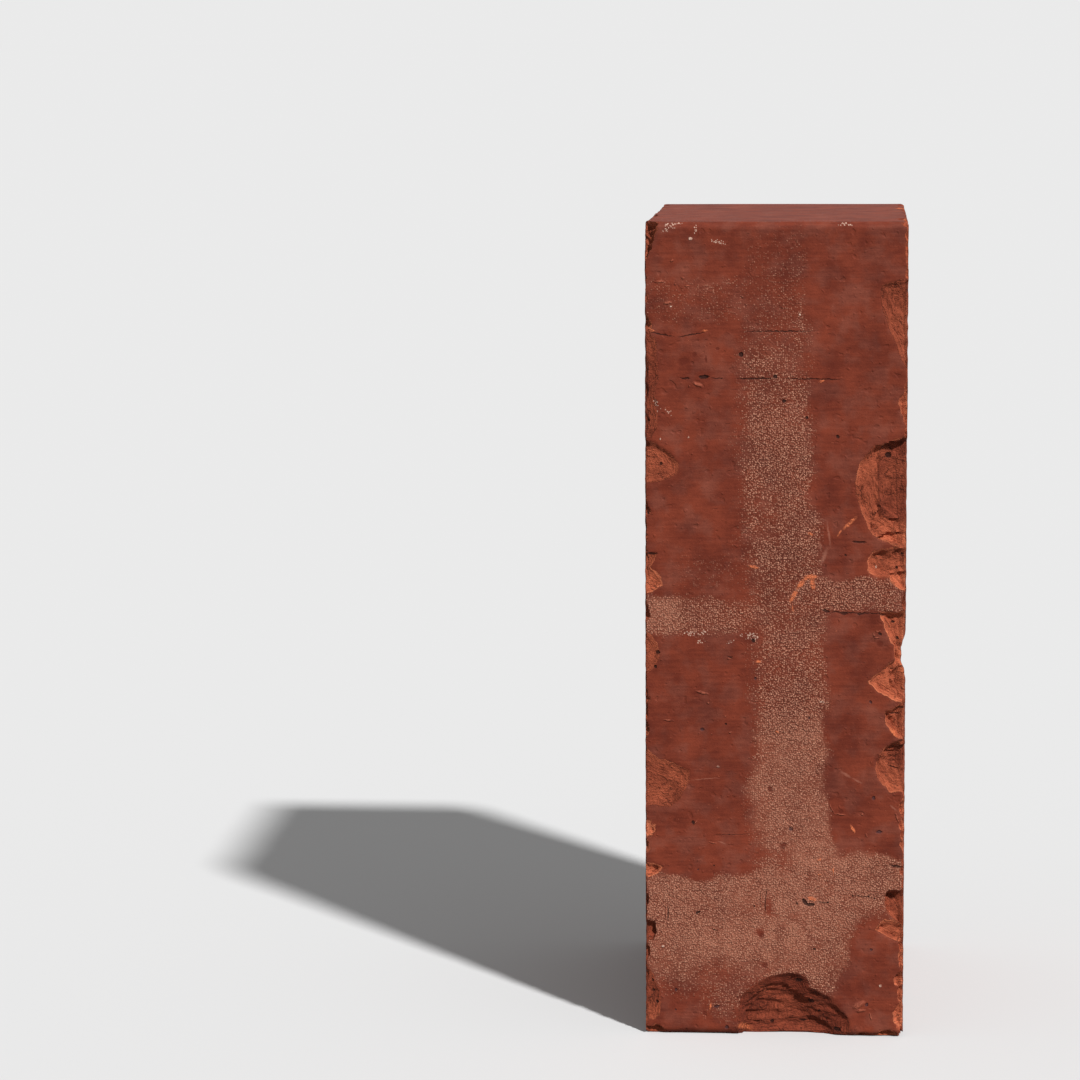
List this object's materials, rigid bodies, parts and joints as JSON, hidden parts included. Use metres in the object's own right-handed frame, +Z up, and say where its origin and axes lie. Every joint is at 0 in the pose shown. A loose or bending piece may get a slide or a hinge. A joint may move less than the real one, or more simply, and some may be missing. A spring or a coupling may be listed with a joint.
{
  "type": "clay brick",
  "caption": "Solid extruded clay brick with wire-cut beds, die-smooth faces, rounded end edges and shell-shaped breaks along its front edges, for building walls.",
  "frame": {"origin": "middle of the footprint of the end that the brick stands on, at floor level", "axes": "+Z runs up the brick's length, -X and +X face out of the two wire-cut beds, and -Y faces out of the stretcher face that the picture shows"},
  "size_m": [0.068, 0.1024, 0.215],
  "materials": {
    "fired_clay": "matt fired red clay, with a smooth dark skin, pale stippled bands where bricks lay across each other in the kiln, and orange breaks"
  },
  "bodies": {
    "root": {"brick": "fired_clay"}
  },
  "joints": []
}
